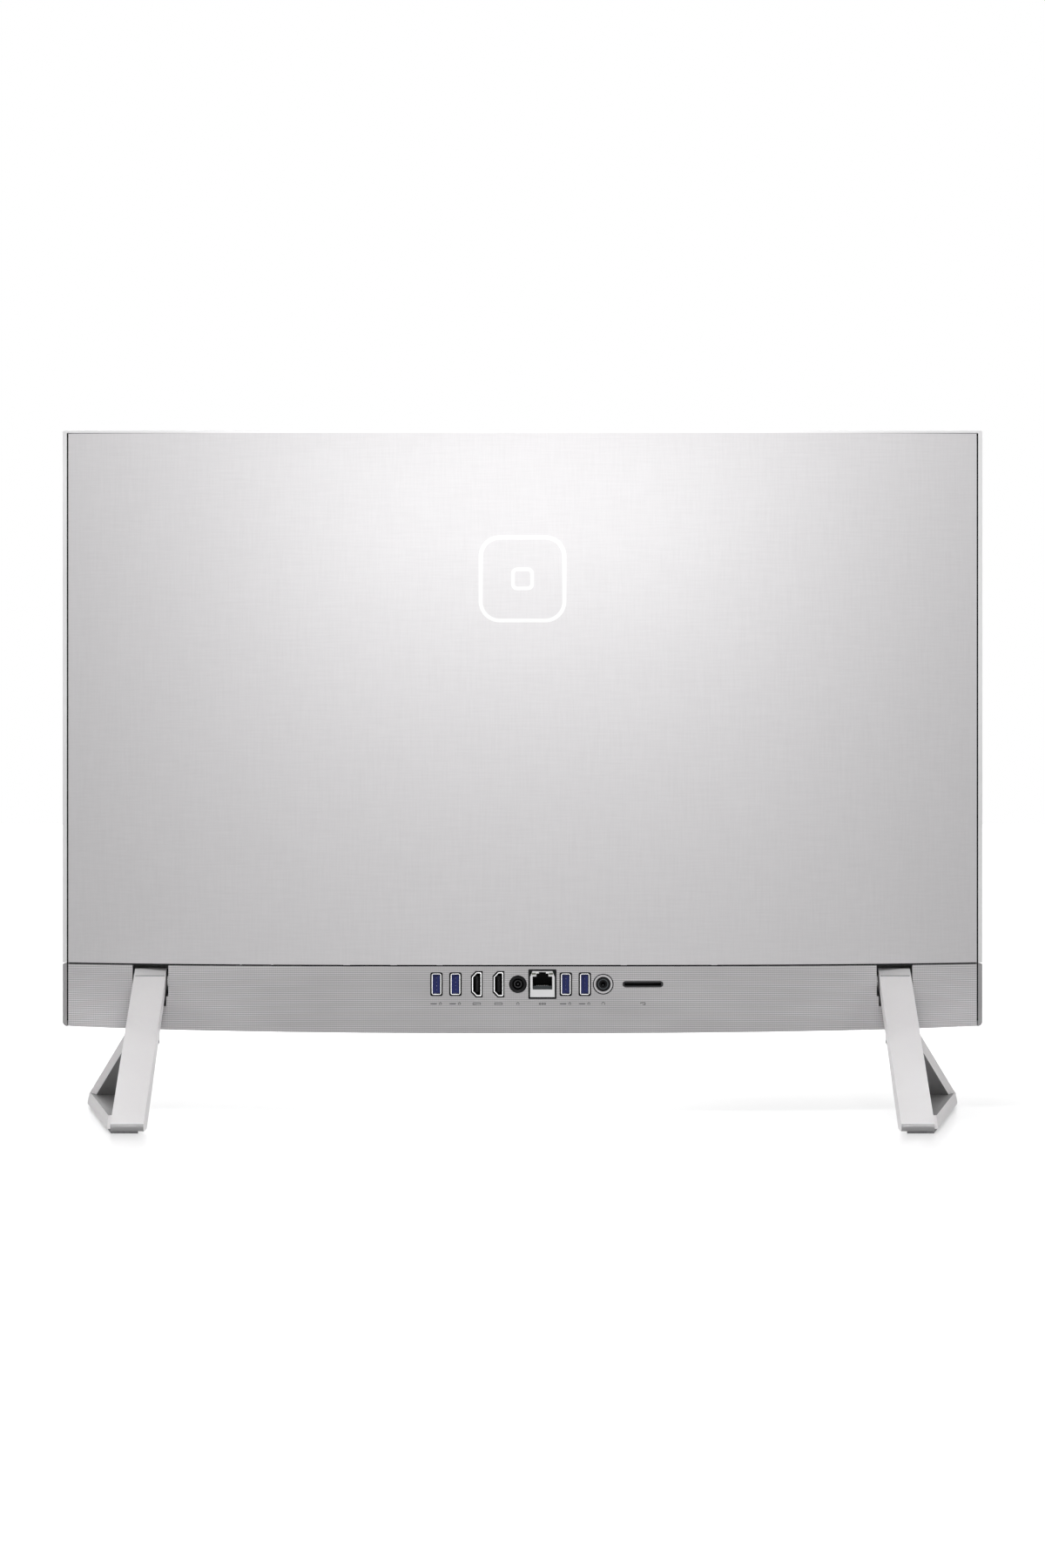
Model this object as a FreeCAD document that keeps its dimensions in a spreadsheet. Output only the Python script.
"""All-in-one desktop PC: a slim 27 inch screen head on two folded-ribbon legs.

Frame: +Z up, +Y towards the back (the ports), -Y towards the person at the screen.
The origin is the middle of the footprint, on the table. Left is the -X side, as seen
by the person at the screen. All lengths are millimetres.
"""
import FreeCAD, Part

import math
import os
import re

from FreeCAD import Placement, Rotation, Vector

DIMENSIONS = [
    # the head's outline
    ("head_half", 307.0, "half the width of the head"),
    ("head_top", 457.0, "top of the head"),
    ("seam_height", 101.6, "seam between the screen and the chin"),
    ("chin_end", 59.6, "bottom of the chin at its ends"),
    ("chin_middle", 57.3, "bottom of the chin at its middle"),
    ("corner_radius", 3.0, "bottom corners of the chin"),
    ("top_radius", 1.2, "top corners of the frame"),
    ("rim_side", 2.9, "visible width of the rim at the sides"),
    ("rim_top", 1.5, "visible width of the rim at the top"),
    ("seam_gap", 0.8, "gap between neighbouring shells"),
    ("shell_wall", 2.0, "wall of the moulded shells"),
    ("chin_wall", 1.2, "wall of the chin's lower rim"),
    ("fit_gap", 0.3, "gap around pieces that drop into place"),
    # layers of the head, front to back
    ("front_face", -34.0, "front of the rim"),
    ("chin_inside", -31.5, "inside of the chin's front wall"),
    ("bezel_back", -33.0, "back of the black front bezel"),
    ("lcd_front", -32.8, "front of the display module"),
    ("lcd_back", -28.0, "back of the display module"),
    ("shelf_front", -27.6, "front of the frame's shelf"),
    ("shelf_back", -26.4, "back of the frame's shelf"),
    ("plate_front", -26.0, "front of the steel chassis plate"),
    ("plate_back", -25.0, "back of the steel chassis plate"),
    ("shell_front", -24.0, "front edge of the back shells"),
    ("rim_back", -22.0, "back of the rim"),
    ("board_front", -14.6, "front of the system board"),
    ("board_back", -13.0, "back of the system board"),
    # bulge of the back, measured from the back of the rim
    ("bulge_top", 4.0, "bulge at the top edge"),
    ("bulge_seam", 28.0, "bulge at the seam"),
    ("bulge_bottom", 30.0, "bulge at the bottom edge"),
    ("bulge_power", 3.2, "how square the bulge is from side to side"),
    # display
    ("screen_half", 298.8, "half the width of the lit area"),
    ("screen_bottom", 110.8, "bottom of the lit area"),
    ("screen_top", 447.0, "top of the lit area"),
    ("shelf_depth", 12.0, "how far the shelf reaches inwards"),
    ("shelf_lift", 2.4, "gap between the seam and the shelf"),
    ("exhaust_pitch", 12.0, "spacing of the air slots in the top"),
    ("exhaust_width", 8.0, "length of an air slot in the top"),
    ("plate_half", 290.0, "half the width of the chassis plate"),
    ("window_pitch", 70.0, "spacing of the chassis plate's windows"),
    ("window_width", 40.0, "width of a window in the chassis plate"),
    # camera
    ("lens_height", 451.1, "camera lens, height"),
    ("lens_radius", 1.8, "camera barrel"),
    ("shutter_open", -13.3, "end of the camera shutter when it is open"),
    ("shutter_length", 8.6, "length of the camera shutter"),
    ("shutter_bottom", 449.5, "bottom of the camera shutter"),
    ("shutter_top", 452.7, "top of the camera shutter"),
    ("track_end", 4.6, "far end of the camera shutter's track"),
    # ports
    ("port_height", 89.5, "height of the row of ports"),
    ("port_mouth", 6.0, "where the port shells end"),
    ("port_clearance", 0.3, "gap around a port in the cover"),
    # hinge
    ("axis_back", -20.0, "tilt axis, front to back"),
    ("axis_height", 90.0, "tilt axis, height"),
    ("tube_radius", 4.0, "steel cross tube"),
    ("hinge_clearance", 0.05, "running clearance of the tube in its blocks"),
    ("hub_radius", 8.5, "hub at the top of a leg"),
    ("hub_inner", 236.5, "inner face of a leg's hub"),
    ("leg_width", 21.0, "width of the leg ribbon"),
    ("tube_seat", 250.0, "how far out the cross tube reaches"),
    ("washer_gap", 0.4, "gap between a washer and a leg"),
    ("washer_radius", 7.0, "hinge washer"),
    ("block_back", 7.6, "back of a hinge block, behind the axis"),
    ("notch_inner", 234.5, "inner side of a leg's notch in the chin"),
    ("notch_outer", 258.9, "outer side of a leg's notch in the chin"),
    ("notch_bottom", 80.5, "visible bottom of the notch"),
    ("notch_relief", 74.0, "bottom of the notch behind the leg"),
    ("block_inner", 206.0, "inner side of a hinge block"),
    ("block_outer", 231.0, "outer side of a hinge block"),
    # legs, side profile
    ("strut_thick", 9.0, "rear strut"),
    ("brace_thick", 7.5, "front strut"),
    ("base_top", 9.5, "top of the bar on the floor"),
    ("pad_thick", 1.5, "rubber pad under the bar"),
    ("foot_reach", 83.0, "how far the feet reach, front and back"),
    ("heel_radius", 3.4, "rounding of the rear foot"),
    ("toe_radius", 3.0, "rounding of the front foot"),
    ("cap_back", -7.0, "rear edge of the leg's top, front to back"),
    ("cap_back_height", 94.5, "rear edge of the leg's top, height"),
    ("cap_front", -12.0, "front edge of the leg's top, front to back"),
    ("cap_front_height", 98.6, "front edge of the leg's top, height"),
    ("apex_height", 65.0, "where the front strut meets the rear strut"),
    ("joint_bite", 1.5, "how far the struts reach into each other"),
    ("brace_trim", 1.8, "front strut's top end, in from the rear strut's inner side"),
    ("pad_inset", 2.0, "rubber pad, in from the bar's sides"),
    # legs, seen from behind: outer side at the table, and how it slants
    ("strut_outside", 260.6, "rear strut"),
    ("strut_lean", 0.034, "rear strut, inwards per mm of height"),
    ("base_outside", 280.7, "floor bar"),
    ("base_splay", 0.2313, "floor bar, outwards per mm forwards"),
    ("base_lean", 0.2, "floor bar, inwards per mm of height"),
    ("brace_outside", 260.3, "front strut"),
    ("brace_splay", 0.4724, "front strut, outwards per mm forwards"),
    # fan
    ("fan_side", 130.0, "fan axis, sideways"),
    ("fan_height", 215.0, "fan axis, height"),
    ("fan_radius", 36.0, "inside of the fan housing"),
    ("fan_front", -13.6, "front of the fan housing"),
    ("fan_back", -3.6, "back of the fan housing"),
    ("fan_wall", 1.2, "wall of the fan housing"),
    ("fan_eye_radius", 22.0, "air inlet of the fan"),
    ("fan_hub_radius", 14.0, "hub of the fan wheel"),
    ("fan_post_radius", 2.0, "post the fan wheel turns on"),
    ("pipe_radius", 2.0, "heat pipe"),
    ("fin_start", 6.0, "first cooling fin, above the fan's outlet circle"),
    ("fin_pitch", 2.2, "spacing of the cooling fins"),
    ("fin_thick", 0.6, "thickness of a cooling fin"),
    # slots in the chin
    ("speaker_inner", 110.0, "first sound slot, sideways"),
    ("speaker_pitch", 5.4, "spacing of the sound slots"),
    ("vent_inner", 96.0, "first vent of the chin cover, sideways"),
    ("vent_pitch", 7.2, "spacing of the chin cover's vents"),
    # power button
    ("button_side", -190.0, "power button, sideways"),
    ("button_radius", 2.8, "power button cap"),
    ("button_depth", -28.0, "power button, front to back"),
]

doc = FreeCAD.newDocument("all_in_one_pc")
sheet = doc.addObject("Spreadsheet::Sheet", "dims")
for row, (alias, size, meaning) in enumerate(DIMENSIONS, start=1):
    sheet.set("A%d" % row, alias)
    sheet.set("B%d" % row, str(size))
    sheet.set("C%d" % row, meaning)
    sheet.setAlias("B%d" % row, alias)
doc.recompute()

SIZE = {alias: float(sheet.get(alias)) for alias, size, meaning in DIMENSIONS}
NODES = []

EXHAUST_SLOTS = 9
SPEAKER_SLOTS = 14
CHIN_VENTS = 18
PLATE_WINDOWS = 3
FINS = 12
FAN_BLADES = 23

# rectangles on the board and the plate: left, bottom, right, top
BOARD = (-104, 78, 84, 250)
PROCESSOR = (-24, 178, 14, 216)
COLD_PLATE = (-28, 174, 18, 220)
COLD_PLATE_ARM = (16, 204, 64, 228)
HARD_DRIVE = (-200, 140, -130, 240)
DISPLAY_CABLE = (60, 120, 112, 140)

BOARD_SCREW_COLUMNS = (-98, -10, 78)
BOARD_SCREW_ROWS = (112, 244)
MEMORY_ROWS = (120, 153)
HINGE_SCREW_COLUMNS = (212, 225)
HINGE_SCREW_ROWS = (14, 21)
SPEAKER_SPAN = (110, 200)
ANTENNA_STARTS = (-200, 140)
ANTENNA_LENGTH = 60
PIPE_START = (-20, 213)
PIPE_CORNER = (86, 285)
PIPE_END = 148


# ---------------------------------------------------------------- helpers

def sheet_terms(text):
    """Points every word of an expression at the spreadsheet."""
    return re.sub(r"[a-z_]+", lambda word: "dims." + word.group(0), str(text))


def bind(item, name, expression):
    item.setExpression(name, sheet_terms(expression))


def block(name, low, high):
    """A box between two corners given as expressions of the spreadsheet."""
    item = doc.addObject("Part::Box", name)
    for axis, side, start, end in zip("xyz", ("Length", "Width", "Height"), low, high):
        bind(item, "Placement.Base." + axis, start)
        bind(item, side, "(%s) - (%s)" % (end, start))
    return item


TURN = {
    "x": Rotation(Vector(0, 0, 1), Vector(1, 0, 0)),
    "y": Rotation(Vector(0, 0, 1), Vector(0, 1, 0)),
    "z": Rotation(),
}


def rod(name, start, along, length, radius):
    """A cylinder from a point, along one axis."""
    item = doc.addObject("Part::Cylinder", name)
    item.Placement = Placement(Vector(), TURN[along])
    for axis, place in zip("xyz", start):
        bind(item, "Placement.Base." + axis, place)
    bind(item, "Height", length)
    bind(item, "Radius", radius)
    return item


def fuse(name, *shapes):
    item = doc.addObject("Part::MultiFuse", name)
    item.Shapes = list(shapes)
    return item


def cut(name, base, *tools):
    item = doc.addObject("Part::Cut", name)
    item.Base = base
    item.Tool = tools[0] if len(tools) == 1 else fuse(name + "_tools", *tools)
    return item


def group(name, *shapes):
    """Separate solids that share one node."""
    item = doc.addObject("Part::Compound", name)
    item.Links = list(shapes)
    return item


def feature(name, shape):
    """A shape made with Part's own functions, for forms that no primitive fits."""
    item = doc.addObject("Part::Feature", name)
    item.Shape = shape
    item.Placement = Placement()
    return item


def keep(label, item):
    """Names a finished piece, which makes it a sub-part."""
    item.Label = label
    NODES.append(item)
    return item


def runs_along_y(edge):
    return abs(edge.tangentAt(edge.FirstParameter).y) > 0.9


def polygon_face(points):
    """A flat face through a list of points."""
    return Part.Face(Part.makePolygon(list(points) + [points[0]]))


# ---------------------------------------------------------------- the bulged back

def bulge(x, z):
    """How far back the outside of the shells stands at a place on the back."""
    seam = SIZE["seam_height"]
    if z >= seam:
        down = (SIZE["head_top"] - z) / (SIZE["head_top"] - seam)
        depth = SIZE["bulge_top"] + (SIZE["bulge_seam"] - SIZE["bulge_top"]) * (1 - (1 - down) ** 2)
    else:
        down = (seam - z) / (seam - SIZE["chin_middle"])
        depth = SIZE["bulge_seam"] + (SIZE["bulge_bottom"] - SIZE["bulge_seam"]) * down
    across = min(abs(x) / shell_half(), 1.0)
    return SIZE["rim_back"] + depth * (1 - across ** SIZE["bulge_power"])


def shell_half():
    return SIZE["head_half"] - SIZE["rim_side"] - SIZE["seam_gap"]


def bulge_solid(half, low, high, sink, columns=41, rows=12):
    """Everything in front of the bulged surface, sunk by a wall, inside a rectangle."""
    grid = []
    for i in range(columns):
        x = -half + 2 * half * i / (columns - 1)
        heights = [low + (high - low) * j / (rows - 1) for j in range(rows)]
        grid.append([Vector(x, bulge(x, z) - sink, z) for z in heights])
    surface = Part.BSplineSurface()
    surface.interpolate(grid)
    deep = Vector(0, -60, 0)
    return surface.toShape().extrude(deep)


def chin_outline(half, low_end, low_middle, high, start, end):
    """The chin's front outline, with its bowed bottom edge, as a slab."""
    left = Vector(-half, start, low_end)
    right = Vector(half, start, low_end)
    middle = Vector(0, start, low_middle)
    top_right = Vector(half, start, high)
    top_left = Vector(-half, start, high)
    edges = [
        Part.Arc(left, middle, right).toShape(),
        Part.makeLine(right, top_right),
        Part.makeLine(top_right, top_left),
        Part.makeLine(top_left, left),
    ]
    return Part.Face(Part.Wire(edges)).extrude(Vector(0, end - start, 0))


# ---------------------------------------------------------------- shells of the head

def make_middle_frame():
    outer = block("frame_outer", ("-head_half", "front_face", "seam_height + seam_gap / 2"),
                  ("head_half", "rim_back", "head_top"))
    rounded = doc.addObject("Part::Fillet", "frame_rounded")
    rounded.Base = outer
    doc.recompute()
    top_edges = []
    for number, edge in enumerate(outer.Shape.Edges, start=1):
        if runs_along_y(edge) and edge.CenterOfMass.z > SIZE["head_top"] - 1:
            top_edges.append((number, SIZE["top_radius"], SIZE["top_radius"]))
    rounded.Edges = top_edges
    opening = block("frame_opening", ("-head_half + rim_side", "front_face - 1", "seam_height - 5"),
                    ("head_half - rim_side", "rim_back + 1", "head_top - rim_top"))
    rim = cut("frame_rim", rounded, opening)
    shelf_outer = block("shelf_outer", ("-head_half + rim_side", "shelf_front", "seam_height + shelf_lift"),
                        ("head_half - rim_side", "shelf_back", "head_top - rim_top"))
    shelf_inner = block("shelf_inner", ("-head_half + rim_side + shelf_depth", "shelf_front - 1",
                                        "seam_height + shelf_lift + shelf_depth / 2"),
                        ("head_half - rim_side - shelf_depth", "shelf_back + 1",
                         "head_top - rim_top - shelf_depth"))
    shelf = cut("frame_shelf", shelf_outer, shelf_inner)
    slots = []
    for i in range(-EXHAUST_SLOTS, EXHAUST_SLOTS + 1):
        middle = "%d * exhaust_pitch" % i
        slots.append(block("exhaust_slot",
                           (middle + " - exhaust_width / 2", "shell_front - 2.2", "head_top - 4"),
                           (middle + " + exhaust_width / 2", "shell_front - 0.2", "head_top + 1")))
    whole = fuse("frame_whole", rim, shelf)
    keep("middle_frame", cut("frame_body", whole, *slots))


def make_front_bezel():
    outer = block("bezel_outer",
                  ("-head_half + rim_side + fit_gap", "front_face", "seam_height + seam_gap / 2"),
                  ("head_half - rim_side - fit_gap", "bezel_back", "head_top - rim_top - fit_gap"))
    window = block("bezel_window", ("-screen_half", "front_face - 1", "screen_bottom"),
                   ("screen_half", "bezel_back + 1", "screen_top"))
    track = block("shutter_track", ("shutter_open - fit_gap", "front_face - 1", "shutter_bottom - fit_gap"),
                  ("track_end", "bezel_back + 1", "shutter_top + fit_gap"))
    keep("front_bezel", cut("bezel_body", outer, window, track))


def make_display_and_camera():
    keep("lcd_panel", block("lcd_body", ("-head_half + rim_side + 0.5", "lcd_front", "seam_height + seam_gap"),
                            ("head_half - rim_side - 0.5", "lcd_back", "screen_top + 1.2")))
    board = block("camera_board", ("-20", "lcd_back - 1.2", "screen_top + 1.7"),
                  ("20", "lcd_back", "screen_top + 7.5"))
    barrel = rod("camera_barrel", ("0", "lcd_front", "lens_height"), "y", "3.6", "lens_radius")
    keep("camera_module", fuse("camera_body", board, barrel))
    keep("camera_shutter", block("shutter_body", ("shutter_open", "front_face - fit_gap", "shutter_bottom"),
                                 ("shutter_open + shutter_length", "bezel_back - 0.1", "shutter_top")))


def make_front_chin():
    half = SIZE["head_half"]
    low_end, low_middle = SIZE["chin_end"], SIZE["chin_middle"]
    top = SIZE["seam_height"] - SIZE["seam_gap"] / 2
    side, wall = SIZE["rim_side"], SIZE["chin_wall"]
    tray = chin_outline(half, low_end, low_middle, top, SIZE["front_face"], SIZE["rim_back"])
    corners = [edge for edge in tray.Edges if runs_along_y(edge) and edge.CenterOfMass.z < low_end + 1]
    tray = tray.makeFillet(SIZE["corner_radius"], corners)
    hollow = chin_outline(half - side, low_end + wall, low_middle + wall, top + 5,
                          SIZE["chin_inside"], SIZE["rim_back"] + 1)
    room = chin_outline(half - side, low_end - 5, low_middle - 5, top + 5,
                        SIZE["shell_front"] - SIZE["fit_gap"], SIZE["rim_back"] + 1)
    key_hole = Part.makeCylinder(SIZE["button_radius"] + SIZE["fit_gap"], 12,
                                 Vector(SIZE["button_side"], SIZE["button_depth"], low_middle - 4))
    slots = []
    for sign in (-1, 1):
        for i in range(SPEAKER_SLOTS):
            x = sign * (SIZE["speaker_inner"] + SIZE["speaker_pitch"] * i)
            slots.append(Part.makeBox(4, 3.4, 8, Vector(x - 2, SIZE["button_depth"] - 0.8, low_middle - 4)))
    for tool in [hollow, room, key_hole] + slots:
        tray = tray.cut(tool)
    keep("front_chin", feature("chin_tray", tray))


def make_back_panel():
    half = shell_half()
    wall = SIZE["shell_wall"]
    low = SIZE["seam_height"] + SIZE["seam_gap"] / 2
    high = SIZE["head_top"] - SIZE["rim_top"] - SIZE["seam_gap"] / 2
    outer = bulge_solid(half, low, high, 0)
    room = Part.makeBox(2 * half + 10, 80, high - low + 10, Vector(-half - 5, SIZE["shell_front"], low - 5))
    inner = bulge_solid(half - wall, low - 5, high - wall, wall)
    shell = outer.common(room).cut(inner)
    keep("back_panel", feature("panel_shell", shell))


def rounded_slab(x, width, height, radius, start, end):
    """A bar along Y through the row of ports, with rounded corners."""
    low = Vector(x - width / 2, start, SIZE["port_height"] - height / 2)
    slab = Part.makeBox(width, end - start, height, low)
    return slab.makeFillet(radius, [edge for edge in slab.Edges if runs_along_y(edge)])


def video_slab(x, shrink, start, end):
    """A video socket's outline on edge: its two bevelled corners face the +X side."""
    width, height = PORT_SIZE["hdmi"]
    near, far, high = x - width / 2 + shrink, x + width / 2 - shrink, height / 2 - shrink
    bevel = VIDEO_BEVEL
    outline = [(near, -high), (far - bevel, -high), (far, -high + bevel), (far, high - bevel),
               (far - bevel, high), (near, high)]
    points = [Vector(px, start, SIZE["port_height"] + pz) for px, pz in outline]
    return polygon_face(points).extrude(Vector(0, end - start, 0))


def port_openings():
    """Cut-outs of the chin cover, one per port, as solids that run through the wall."""
    tools = []
    gap = SIZE["port_clearance"]
    start, end = -10, 30
    for kind, x in PORTS:
        width, height = (size + 2 * gap for size in PORT_SIZE[kind])
        if kind in ("dc", "audio"):
            centre = Vector(x, start, SIZE["port_height"])
            tools.append(Part.makeCylinder(width / 2, end - start, centre, Vector(0, 1, 0)))
        elif kind == "hdmi":
            tools.append(video_slab(x, -gap, start, end))
        else:
            tools.append(rounded_slab(x, width, height, PORT_CORNER[kind], start, end))
    return tools


def chin_notches():
    """Openings behind the hinges, where the legs pass when the head tilts."""
    notches = []
    top = SIZE["seam_height"] + 5
    for sign in (-1, 1):
        for low, inset in ((SIZE["notch_bottom"], 0), (SIZE["notch_relief"], 1.4)):
            near = SIZE["notch_inner"] + inset
            far = SIZE["notch_outer"]
            left = near if sign > 0 else -far
            notches.append(Part.makeBox(far - near, 60, top - low, Vector(left, SIZE["axis_back"], low)))
    return notches


def chin_vents():
    """Slots in the underside of the chin."""
    vents = []
    for sign in (-1, 1):
        for i in range(CHIN_VENTS):
            x = sign * (SIZE["vent_inner"] + SIZE["vent_pitch"] * i)
            vents.append(Part.makeBox(4, 12, 8, Vector(x - 2, -17, SIZE["chin_middle"] - 3)))
    return vents


def make_chin_cover():
    """The chin's back moulding, with the stretch of wall around the ports as a node of its own."""
    half = shell_half()
    wall = SIZE["shell_wall"]
    low_end, low_middle = SIZE["chin_end"], SIZE["chin_middle"]
    top = SIZE["seam_height"] - SIZE["seam_gap"] / 2
    outer = bulge_solid(half, low_middle - 2, top, 0, rows=6)
    outer = outer.common(chin_outline(half, low_end, low_middle, top, SIZE["shell_front"], 40))
    inner = bulge_solid(half - wall, low_middle - 2, top + 5, wall, rows=6)
    inner = inner.common(chin_outline(half - wall, low_end + wall, low_middle + wall, top + 4, -60, 40))
    shell = outer.cut(inner)
    for tool in chin_notches() + chin_vents() + port_openings():
        shell = shell.cut(tool)
    left, right, low = PORT_WALL
    around_ports = Part.makeBox(right - left, 40, 30, Vector(left, SIZE["port_mouth"] - 16, low))
    keep("chin_cover", feature("cover_shell", shell.cut(around_ports)))
    keep("port_wall", feature("port_wall_shell", shell.common(around_ports)))


def make_chassis_plate():
    plate = block("plate_sheet", ("-plate_half", "plate_front", "chin_end + 4.4"),
                  ("plate_half", "plate_back", "head_top - 17"))
    cuts = []
    for sign, side in (("", "right"), ("-", "left")):
        near, far = sign + "(block_outer - 0.5)", sign + "(notch_outer + 1.5)"
        low, high = (near, far) if sign == "" else (far, near)
        cuts.append(block("plate_notch_" + side, (low, "plate_front - 1", "chin_end"),
                          (high, "plate_back + 1", "seam_height + 1")))
    for i in range(-PLATE_WINDOWS, PLATE_WINDOWS + 1):
        middle = "%d * window_pitch" % i
        cuts.append(block("plate_window", (middle + " - window_width / 2", "plate_front - 1", "head_top - 120"),
                          (middle + " + window_width / 2", "plate_back + 1", "head_top - 60")))
    keep("chassis_plate", cut("plate_body", plate, *cuts))


# ---------------------------------------------------------------- ports

PORTS = [
    ("usb", 56.6), ("usb", 44.1), ("hdmi", 30.1), ("hdmi", 15.8), ("dc", 3.0),
    ("ethernet", -13.1), ("usb", -28.5), ("usb", -41.0), ("audio", -53.1), ("card", -79.2),
]
PORT_SIZE = {
    "usb": (7.7, 15.1), "hdmi": (7.3, 16.7), "dc": (11.1, 11.1),
    "ethernet": (18.0, 18.9), "audio": (13.1, 13.1), "card": (26.3, 3.6),
}
PORT_CORNER = {"usb": 1.4, "ethernet": 0.7, "card": 2.05}
USB_INSIDE = (5.3, 12.6, 14)
USB_TONGUE = (-2.05, -0.15, 5.6, 2)
VIDEO_BEVEL = 3.2
VIDEO_WALL = 0.9
VIDEO_DEPTH = 11
VIDEO_TONGUE = (1.6, 9.5, 10.6)
CARD_SLOT = (24.4, 2.3, 17)
# left, right and bottom of the stretch of wall around the ports
PORT_WALL = (-97.0, 66.0, 78.6)
# half width, bottom and top of each step of the network socket's opening, about its middle
NETWORK_STEPS = ((6.2, -3.5, 5.1), (4.0, 5.0, 7.0), (2.3, 6.9, 8.2))
DC_BORE = 3.7
DC_PIN = 0.6
AUDIO_RECESS = 4.5
AUDIO_BORE = 1.8


def port_body(name, x, width, height, front="board_back"):
    half_width, half_height = width / 2, height / 2
    return block(name, (str(x - half_width), front, "port_height - %g" % half_height),
                 (str(x + half_width), "port_mouth", "port_height + %g" % half_height))


def port_hollow(name, x, width, height, depth):
    return block(name, (str(x - width / 2), "port_mouth - %g" % depth, "port_height - %g" % (height / 2)),
                 (str(x + width / 2), "port_mouth + 1", "port_height + %g" % (height / 2)))


def make_usb(number, x):
    """A plated shell, and the blue moulding inside it: a base and an off-centre tongue."""
    name = "usb_%d" % number
    width, height, depth = USB_INSIDE
    hollow = port_hollow(name + "_hollow", x, width, height, depth)
    outer = port_body(name + "_outer", x, *PORT_SIZE["usb"])
    keep("usb_socket_%d" % number, cut(name + "_shell", outer, hollow))
    near, far, half, base = USB_TONGUE
    floor = "port_mouth - %g" % depth
    back = block(name + "_base", (str(x - width / 2), floor, "port_height - %g" % (height / 2)),
                 (str(x + width / 2), floor + " + %g" % base, "port_height + %g" % (height / 2)))
    blade = block(name + "_blade", (str(x + near), floor, "port_height - %g" % half),
                  (str(x + far), "port_mouth - 1.2", "port_height + %g" % half))
    keep("usb_tongue_%d" % number, fuse(name + "_tongue", back, blade))


def make_hdmi(number, x):
    front, mouth, z = SIZE["board_back"], SIZE["port_mouth"], SIZE["port_height"]
    back_wall = mouth - VIDEO_DEPTH
    socket = video_slab(x, 0, front, mouth).cut(video_slab(x, VIDEO_WALL, back_wall, mouth + 1))
    width, length, height = VIDEO_TONGUE
    tongue = Part.makeBox(width, length, height, Vector(x - 0.9, back_wall, z - height / 2))
    keep("hdmi_socket_%d" % number, feature("hdmi_%d_body" % number, socket.fuse(tongue)))


def round_port(name, x, start, length, radius):
    """A cylinder on a port's axis, from a level measured from the mouth."""
    return rod(name, (str(x), "port_mouth + %g" % start, "port_height"), "y", str(length), str(radius))


def make_dc_jack(x):
    body = rod("dc_outer", (str(x), "board_back", "port_height"), "y", "port_mouth - board_back",
               str(PORT_SIZE["dc"][0] / 2))
    bore = round_port("dc_bore", x, -11, 13, DC_BORE)
    pin = round_port("dc_pin", x, -12, 10.5, DC_PIN)
    keep("dc_jack", fuse("dc_body", cut("dc_shell", body, bore), pin))


def make_ethernet(x):
    body = port_body("ethernet_outer", x, *PORT_SIZE["ethernet"])
    steps = []
    for half, low, high in NETWORK_STEPS:
        steps.append(block("ethernet_step", (str(x - half), "port_mouth - 14", "port_height + %g" % low),
                           (str(x + half), "port_mouth + 1", "port_height + %g" % high)))
    keep("ethernet_socket", cut("ethernet_body", body, *steps))


def make_audio(x):
    outer = rod("audio_outer", (str(x), "board_back", "port_height"), "y", "port_mouth - board_back",
                str(PORT_SIZE["audio"][0] / 2))
    recess = round_port("audio_recess", x, -1.5, 3, AUDIO_RECESS)
    bore = round_port("audio_bore", x, -15.5, 17, AUDIO_BORE)
    keep("line_out_jack", cut("audio_body", outer, recess, bore))


def make_card_reader(x):
    front, mouth = SIZE["board_back"], SIZE["port_mouth"]
    width, height = PORT_SIZE["card"]
    slot_width, slot_height, depth = CARD_SLOT
    body = rounded_slab(x, width, height, height / 2 - 0.05, front, mouth)
    slot = rounded_slab(x, slot_width, slot_height, 0.4, mouth - depth, mouth + 1)
    keep("card_reader", feature("card_body", body.cut(slot)))


def make_ports():
    counts = {"usb": 0, "hdmi": 0}
    for kind, x in PORTS:
        if kind in counts:
            counts[kind] += 1
        if kind == "usb":
            make_usb(counts[kind], x)
        elif kind == "hdmi":
            make_hdmi(counts[kind], x)
        elif kind == "dc":
            make_dc_jack(x)
        elif kind == "ethernet":
            make_ethernet(x)
        elif kind == "audio":
            make_audio(x)
        else:
            make_card_reader(x)


# ---------------------------------------------------------------- board and what is on it

def layer(name, place, base, low, high):
    """A block lying on a level: place is (left, bottom, right, top), low and high stand above it."""
    left, bottom, right, top = (str(side) for side in place)
    return block(name, (left, "%s + %g" % (base, low), bottom), (right, "%s + %g" % (base, high), top))


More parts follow.
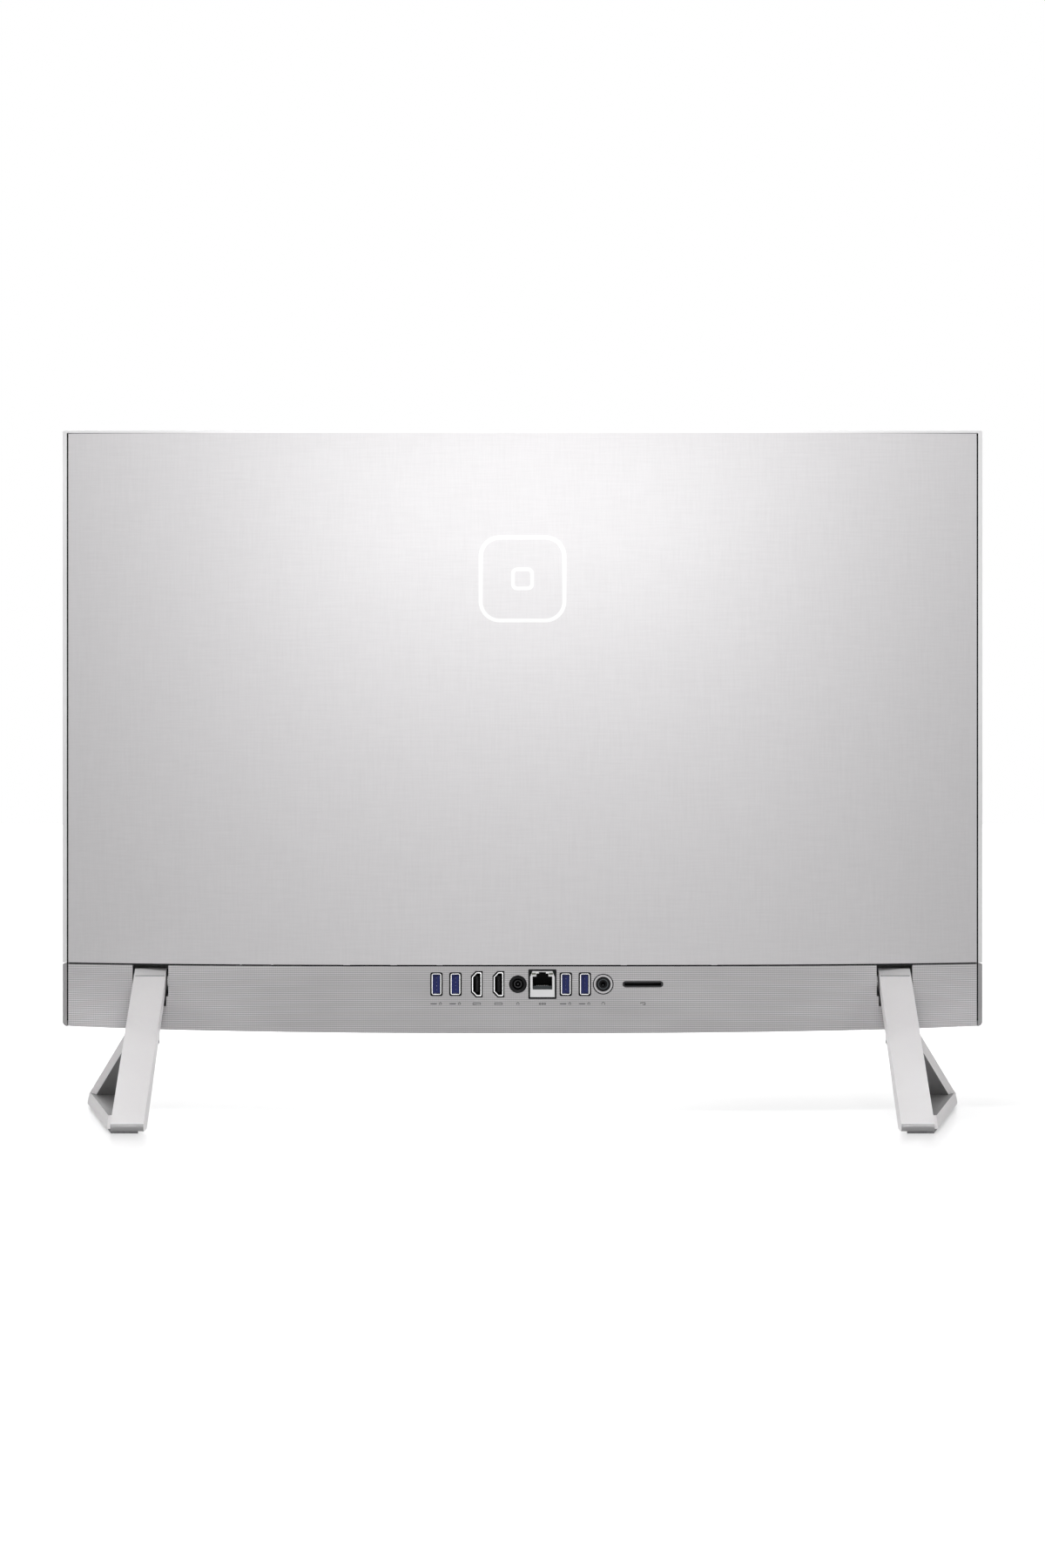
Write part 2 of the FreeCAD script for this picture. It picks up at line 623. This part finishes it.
def make_board():
    left, bottom, right, top = (str(side) for side in BOARD)
    keep("system_board", block("board_sheet", (left, "board_front", bottom), (right, "board_back", top)))
    posts, screws = [], []
    for x in BOARD_SCREW_COLUMNS:
        for z in BOARD_SCREW_ROWS:
            posts.append(rod("standoff", (str(x), "plate_back", str(z)), "y", "board_front - plate_back", "3"))
            screws.append(rod("board_screw", (str(x), "board_back", str(z)), "y", "1.8", "2.6"))
    keep("board_standoffs", group("standoffs", *posts))
    keep("board_screws", group("screws", *screws))
    keep("processor", layer("cpu_body", PROCESSOR, "board_back", 0, 1.8))
    for number, z in enumerate(MEMORY_ROWS, start=1):
        card = layer("dimm_card", (-96, z, -28.4, z + 30), "board_back", 2.4, 3.6)
        socket = layer("dimm_socket", (-98, z - 1.6, -26.4, z + 4), "board_back", 0, 5)
        keep("memory_module_%d" % number, fuse("dimm_%d" % number, card, socket))
    keep("ssd_module", fuse("ssd", layer("ssd_card", (0, 128, 80, 150), "board_back", 2.6, 4.8),
                            layer("ssd_socket", (-4, 127, 3, 151), "board_back", 0, 5.4)))
    keep("wireless_card", fuse("wifi", layer("wifi_card", (-70, 194, -40, 216), "board_back", 2.6, 4.6),
                               layer("wifi_socket", (-74, 193, -67, 217), "board_back", 0, 5.2)))
    keep("coin_cell", rod("cell", ("62", "board_back", "174"), "y", "3.2", "10"))


def make_cooling():
    plate = layer("sink_plate", COLD_PLATE, "board_back", 1.8, 4.2)
    spread = layer("sink_spread", COLD_PLATE_ARM, "board_back", 1.8, 4.2)
    keep("cpu_heatsink", fuse("sink", plate, spread))
    depth, radius = "board_back + 6.2", "pipe_radius"
    (start_x, low), (corner_x, high), end_x = PIPE_START, PIPE_CORNER, PIPE_END
    runs = [rod("pipe_low", (str(start_x), depth, str(low)), "x", str(corner_x - start_x), radius),
            rod("pipe_up", (str(corner_x), depth, str(low)), "z", str(high - low), radius),
            rod("pipe_high", (str(corner_x), depth, str(high)), "x", str(end_x - corner_x), radius)]
    for z in (low, high):
        bend = doc.addObject("Part::Sphere", "pipe_bend")
        for axis, place in zip("xyz", (corner_x, depth, z)):
            bind(bend, "Placement.Base." + axis, place)
        bind(bend, "Radius", radius)
        runs.append(bend)
    keep("heat_pipe", fuse("pipe", *runs))
    fins = []
    for i in range(FINS):
        z = "fan_height + fan_radius + fin_start + %d * fin_pitch" % i
        fins.append(block("cooling_fin", ("fan_side - 36", "fan_front + 0.4", z),
                          ("fan_side + 20", "fan_back - 2.4", z + " + fin_thick")))
    keep("heatsink_fins", group("fins", *fins))


def make_fan_housing():
    """A flat blower's case, with an open back and an outlet at its top."""
    start = ("fan_side", "fan_front", "fan_height")
    can = rod("fan_can", start, "y", "fan_back - fan_front", "fan_radius + 2")
    throat = block("fan_throat", ("fan_side - 36", "fan_front", "fan_height"),
                   ("fan_side + 20", "fan_back", "fan_height + fan_radius + 4"))
    hollow = rod("fan_hollow", ("fan_side", "fan_front + fan_wall", "fan_height"), "y",
                 "fan_back - fan_front - 2 * fan_wall", "fan_radius")
    outlet = block("fan_outlet", ("fan_side - 34.5", "fan_front + fan_wall", "fan_height"),
                   ("fan_side + 18.5", "fan_back - fan_wall", "fan_height + fan_radius + 6"))
    eye = rod("fan_eye", ("fan_side", "fan_front + 2", "fan_height"), "y", "20", "fan_eye_radius")
    post = rod("fan_post", ("fan_side", "fan_front", "fan_height"), "y", "4.2", "fan_post_radius")
    shell = cut("fan_shell", fuse("fan_solid", can, throat), hollow, outlet, eye)
    keep("fan_housing", fuse("fan_case", shell, post))


def make_fan_impeller():
    body = doc.addObject("PartDesign::Body", "impeller")
    origin = {plane.Role: plane for plane in body.Origin.OriginFeatures}
    disc = body.newObject("Sketcher::SketchObject", "impeller_disc")
    disc.AttachmentSupport = [(origin["XY_Plane"], "")]
    disc.MapMode = "FlatFace"
    for radius in (SIZE["fan_hub_radius"], SIZE["fan_post_radius"] + 0.06):
        disc.addGeometry(Part.Circle(Vector(0, 0, 0), Vector(0, 0, 1), radius), False)
    hub = body.newObject("PartDesign::Pad", "impeller_hub")
    hub.Profile = disc
    hub.Length = 6.6
    outline = body.newObject("Sketcher::SketchObject", "impeller_blade")
    outline.AttachmentSupport = [(origin["XY_Plane"], "")]
    outline.MapMode = "FlatFace"
    root, tip = SIZE["fan_hub_radius"] - 1, SIZE["fan_radius"] - 2.5
    corners = [Vector(root, 0, 0), Vector(root, 1.3, 0), Vector(tip, -6.0, 0), Vector(tip, -7.2, 0)]
    for first, second in zip(corners, corners[1:] + corners[:1]):
        outline.addGeometry(Part.LineSegment(first, second), False)
    blade = body.newObject("PartDesign::Pad", "impeller_blade_pad")
    blade.Profile = outline
    blade.Length = 5.4
    ring = body.newObject("PartDesign::PolarPattern", "impeller_blades")
    ring.Originals = [blade]
    ring.Axis = (disc, ["N_Axis"])
    ring.Angle = 360
    ring.Occurrences = FAN_BLADES
    body.Tip = ring
    body.Placement = Placement(Vector(), TURN["y"])
    bind(body, "Placement.Base.x", "fan_side")
    bind(body, "Placement.Base.y", "fan_front + 1.7")
    bind(body, "Placement.Base.z", "fan_height")
    keep("fan_impeller", body)


def make_storage():
    keep("hard_drive", layer("drive", HARD_DRIVE, "plate_back", 3, 10))
    left, bottom, right, top = HARD_DRIVE
    tray = layer("tray_outer", (left - 3, bottom - 4, right + 3, top + 4), "plate_back", 0, 8)
    room = layer("tray_room", (left, bottom - 0.3, right, top + 0.3), "plate_back", 1.4, 9)
    lug = layer("tray_lug", (left + 10, bottom + 10, right - 10, top - 10), "plate_back", 1.4, 3)
    keep("drive_caddy", fuse("tray", cut("tray_shell", tray, room), lug))


def make_sound_and_cables():
    for side, sign in (("left", -1), ("right", 1)):
        near, far = sorted((sign * SPEAKER_SPAN[0], sign * SPEAKER_SPAN[1]))
        box = block("speaker_box_" + side, (str(near), "plate_back + 0.4", "chin_end + 4.6"),
                    (str(far), "plate_back + 13", "chin_end + 22"))
        cone = rod("speaker_cone_" + side, (str((near + far) / 2), "plate_back + 6.6", "chin_end + 3.2"), "z",
                   "1.8", "5.6")
        keep("speaker_" + side, fuse("speaker_body_" + side, box, cone))
    strips = [block("antenna", (str(x), "plate_back", "head_top - 30"),
                    (str(x + ANTENNA_LENGTH), "plate_back + 0.8", "head_top - 20")) for x in ANTENNA_STARTS]
    keep("antennas", group("antenna_strips", *strips))
    keep("display_cable", layer("ribbon_cable", DISPLAY_CABLE, "plate_back", 0, 0.6))


# ---------------------------------------------------------------- hinge and stand

def make_hinge_blocks():
    for side, sign in (("left", "-"), ("right", "")):
        near, far = sign + "block_inner", sign + "block_outer"
        low, high = (near, far) if sign == "" else (far, near)
        body = block("hinge_body_" + side, (low, "plate_back", "axis_height - 10"),
                     (high, "axis_back + block_back", "axis_height + 26"))
        bore = rod("hinge_bore_" + side, (low + " - 1", "axis_back", "axis_height"), "x",
                   "block_outer - block_inner + 2", "tube_radius + hinge_clearance")
        keep("hinge_block_" + side, cut("hinge_cut_" + side, body, bore))
    screws = []
    for sign in (-1, 1):
        for x in HINGE_SCREW_COLUMNS:
            for up in HINGE_SCREW_ROWS:
                screws.append(rod("hinge_screw", (str(sign * x), "axis_back + block_back",
                                                  "axis_height + %g" % up), "y", "1.6", "2.4"))
    keep("hinge_screws", group("hinge_screw_set", *screws))


def make_cross_tube():
    tube = rod("tube_solid", ("-tube_seat", "axis_back", "axis_height"), "x", "2 * tube_seat", "tube_radius")
    core = rod("tube_core", ("-tube_seat - 1", "axis_back", "axis_height"), "x", "2 * tube_seat + 2",
               "tube_radius - 2")
    keep("cross_tube", cut("tube_body", tube, core))
    washers = []
    for start in ("block_outer + fit_gap", "-(hub_inner - washer_gap)"):
        length = "hub_inner - washer_gap - block_outer - fit_gap"
        disc = rod("washer_disc", (start, "axis_back", "axis_height"), "x", length, "washer_radius")
        hole = rod("washer_hole", (start + " - 1", "axis_back", "axis_height"), "x", length + " + 2",
                   "tube_radius")
        washers.append(cut("washer", disc, hole))
    keep("hinge_washers", group("washer_set", *washers))


def toward(point, direction, distance):
    """A point of the side profile, moved along a direction."""
    return (point[0] + direction[0] * distance, point[1] + direction[1] * distance)


def strut_profile():
    """The rear strut in side view: its cap, heel centre, downward direction and outward normal."""
    heel = SIZE["heel_radius"]
    cap_back = (SIZE["cap_back"], SIZE["cap_back_height"])
    cap_front = (SIZE["cap_front"], SIZE["cap_front_height"])
    heel_centre = (SIZE["foot_reach"] - heel, SIZE["pad_thick"] + heel)
    run = (heel_centre[0] - cap_back[0], heel_centre[1] - cap_back[1])
    lean = math.atan2(-run[1], run[0]) + math.asin(heel / math.hypot(*run))
    down = (math.cos(lean), -math.sin(lean))
    outward = (math.sin(lean), math.cos(lean))
    return cap_front, cap_back, heel_centre, down, outward


def strut_front(z):
    """Where the front face of the rear strut is at a height."""
    cap_front, cap_back, heel_centre, down, outward = strut_profile()
    start = toward(cap_back, outward, -SIZE["strut_thick"])
    return start[0] + (start[1] - z) * down[0] / -down[1]


def sheared(points, side):
    """A ribbon segment: its side outline lies on a slanted plane, its width along X."""
    offset, per_y, per_z, sign = side
    corners = []
    for item in points:
        corners.append(Vector(sign * (offset + per_y * item[0] + per_z * item[1]), item[0], item[1]))
    return corners


def ribbon(edges_of, points, side):
    """A length of the leg's ribbon: a side outline on a slanted plane, one ribbon wide."""
    corners = sheared(points, side)
    face = Part.Face(Part.Wire(edges_of(corners)))
    return face.extrude(Vector(-side[3] * SIZE["leg_width"], 0, 0))


def straight_edges(corners):
    return [Part.makeLine(a, b) for a, b in zip(corners, corners[1:] + corners[:1])]


def strut_edges(c):
    return [Part.makeLine(c[0], c[1]), Part.makeLine(c[1], c[2]), Part.makeLine(c[2], c[3]),
            Part.Arc(c[3], c[4], c[5]).toShape(), Part.makeLine(c[5], c[6]),
            Part.makeLine(c[6], c[7]), Part.makeLine(c[7], c[0])]


def make_strut(sign):
    """The rear strut, from the hub down to the heel."""
    cap_front, cap_back, heel_centre, down, outward = strut_profile()
    heel, pad = SIZE["heel_radius"], SIZE["pad_thick"]
    turn = math.radians(-20)
    heel_middle = toward(heel_centre, (math.cos(turn), math.sin(turn)), heel)
    inside_hub = toward(toward(cap_back, outward, -SIZE["strut_thick"]), down, -6)
    outline = [(SIZE["axis_back"], SIZE["axis_height"] + SIZE["hub_radius"]), cap_front, cap_back,
               toward(heel_centre, outward, heel), heel_middle, (heel_centre[0], pad),
               (strut_front(pad), pad), inside_hub]
    return ribbon(strut_edges, outline, (SIZE["strut_outside"], 0.0, -SIZE["strut_lean"], sign))


def brace_line():
    """The front strut's upper face in side view: where it leaves the toe, its direction and normal."""
    reach, toe = SIZE["foot_reach"], SIZE["toe_radius"]
    toe_centre = (-reach + toe, SIZE["pad_thick"] + toe)
    apex = (strut_front(SIZE["apex_height"]), SIZE["apex_height"])
    run = (apex[0] - toe_centre[0], apex[1] - toe_centre[1])
    rise = math.atan2(run[1], run[0]) - math.asin(toe / math.hypot(*run))
    up = (math.cos(rise), math.sin(rise))
    over = (-math.sin(rise), math.cos(rise))
    return toe_centre, toward(toe_centre, over, toe), up, over


def brace_at(z, drop):
    """A point of the front strut's upper face, or of a face that far below it."""
    toe_centre, toe_tangent, up, over = brace_line()
    start = toward(toe_tangent, over, -drop)
    return toward(start, up, (z - start[1]) / up[1])


def base_edges(c):
    return [Part.Arc(c[0], c[1], c[2]).toShape(), Part.makeLine(c[2], c[3]), Part.makeLine(c[3], c[4]),
            Part.makeLine(c[4], c[5]), Part.makeLine(c[5], c[0])]


def make_base(sign):
    """The bar along the table, with the toe at its front end."""
    toe_centre, toe_tangent, up, over = brace_line()
    pad, base, bite = SIZE["pad_thick"], SIZE["base_top"], SIZE["joint_bite"]
    outline = [(toe_centre[0], pad), (toe_centre[0] - SIZE["toe_radius"], toe_centre[1]), toe_tangent,
               brace_at(base, 0), (strut_front(base) + bite, base), (strut_front(pad) + bite, pad)]
    return ribbon(base_edges, outline, (SIZE["base_outside"], -SIZE["base_splay"], -SIZE["base_lean"], sign))


def make_brace(sign):
    """The front strut, from the toe up to the inside of the rear strut."""
    toe_centre, toe_tangent, up, over = brace_line()
    drop, base, bite = SIZE["brace_thick"], SIZE["base_top"], SIZE["joint_bite"]
    under = brace_at(base, drop)
    while under[0] < strut_front(under[1]) + bite:
        under = toward(under, up, 0.25)
    high = brace_at(SIZE["apex_height"], 0)
    outline = [brace_at(base - bite, 0), toward(high, up, bite), under, brace_at(base - bite, drop)]
    brace = ribbon(straight_edges, outline, (SIZE["brace_outside"], -SIZE["brace_splay"], 0.0, sign))
    reach = SIZE["foot_reach"]
    everywhere = [(-reach, 0.0), (reach, 0.0), (reach, 100.0), (-reach, 100.0)]
    inner = SIZE["strut_outside"] - SIZE["leg_width"] + SIZE["brace_trim"]
    inner_plane = (inner, 0.0, -SIZE["strut_lean"], sign)
    beyond = polygon_face(sheared(everywhere, inner_plane)).extrude(Vector(-sign * 60, 0, 0))
    return brace.cut(beyond)


def make_hub(sign):
    """The hub around the cross tube, and the blind seat of the tube's end."""
    hub_start = SIZE["hub_inner"] if sign > 0 else -SIZE["hub_inner"] - SIZE["leg_width"]
    seat_start = SIZE["hub_inner"] if sign > 0 else -SIZE["tube_seat"]
    seat_length = SIZE["tube_seat"] - SIZE["hub_inner"]
    sides = []
    for start, length, radius in ((hub_start, SIZE["leg_width"], SIZE["hub_radius"]),
                                  (seat_start, seat_length, SIZE["tube_radius"])):
        centre = Vector(start, SIZE["axis_back"], SIZE["axis_height"])
        sides.append(Part.makeCylinder(radius, length, centre, Vector(1, 0, 0)))
    return sides


def make_leg(side_name, sign):
    hub, seat = make_hub(sign)
    leg = make_strut(sign).fuse([make_base(sign), make_brace(sign), hub])
    leg = leg.cut(seat).removeSplitter()
    keep("leg_" + side_name, feature("leg_body_" + side_name, leg))


def make_foot_pad(side_name, sign):
    inset, pad = SIZE["pad_inset"], SIZE["pad_thick"]
    front = -SIZE["foot_reach"] + 5
    back = SIZE["foot_reach"] - SIZE["heel_radius"] - 1
    outline = [(front, 0.0), (back, 0.0), (back, pad), (front, pad)]
    corners = sheared(outline, (SIZE["base_outside"] - inset, -SIZE["base_splay"], 0.0, sign))
    strip = polygon_face(corners).extrude(Vector(-sign * (SIZE["leg_width"] - 2 * inset), 0, 0))
    keep("foot_pad_" + side_name, feature("pad_body_" + side_name, strip))


# ---------------------------------------------------------------- power button

def make_power_button():
    """A small round key in the underside of the chin, held in by its flange."""
    place = ("button_side", "button_depth")
    cap = rod("button_cap", place + ("chin_middle + 0.4",), "z", "2.4", "button_radius")
    flange = rod("button_flange", place + ("chin_middle + 2.5",), "z", "0.8", "button_radius + 0.6")
    keep("power_button", fuse("button_body", cap, flange))
    switch = block("switch_can", ("button_side - 2.5", "button_depth - 2.5", "chin_middle + 5.2"),
                   ("button_side + 2.5", "button_depth + 1.2", "chin_middle + 7.4"))
    card = block("switch_card", ("button_side - 12", "chin_inside", "chin_middle + 7.4"),
                 ("button_side + 12", "plate_front - 0.4", "chin_middle + 8.6"))
    keep("button_board", fuse("switch_body", switch, card))


def check_and_write():
    doc.recompute()
    for item in doc.Objects:
        bad = [word for word in item.State if word in ("Invalid", "Error")]
        if bad:
            raise RuntimeError("%s is %s" % (item.Name, bad))
    os.makedirs("parts", exist_ok=True)
    labels = set()
    for item in NODES:
        if item.Shape.isNull() or not item.Shape.isValid() or item.Shape.Volume <= 0:
            raise RuntimeError("%s has a bad shape" % item.Label)
        labels.add(item.Label)
    if len(labels) != len(NODES):
        raise RuntimeError("two sub-parts share a label")
    for item in NODES:
        item.Shape.exportStep("parts/%s.step" % item.Label)
        box = item.Shape.BoundBox
        print("%-20s %d solids  x %.1f %.1f  y %.1f %.1f  z %.1f %.1f" % (
            item.Label, len(item.Shape.Solids), box.XMin, box.XMax, box.YMin, box.YMax, box.ZMin, box.ZMax))


make_middle_frame()
make_front_bezel()
make_display_and_camera()
make_front_chin()
make_back_panel()
make_chin_cover()
make_chassis_plate()
make_ports()
make_board()
make_cooling()
make_fan_housing()
make_fan_impeller()
make_storage()
make_sound_and_cables()
make_hinge_blocks()
make_cross_tube()
for leg_side, leg_sign in (("left", -1), ("right", 1)):
    make_leg(leg_side, leg_sign)
    make_foot_pad(leg_side, leg_sign)
make_power_button()
check_and_write()
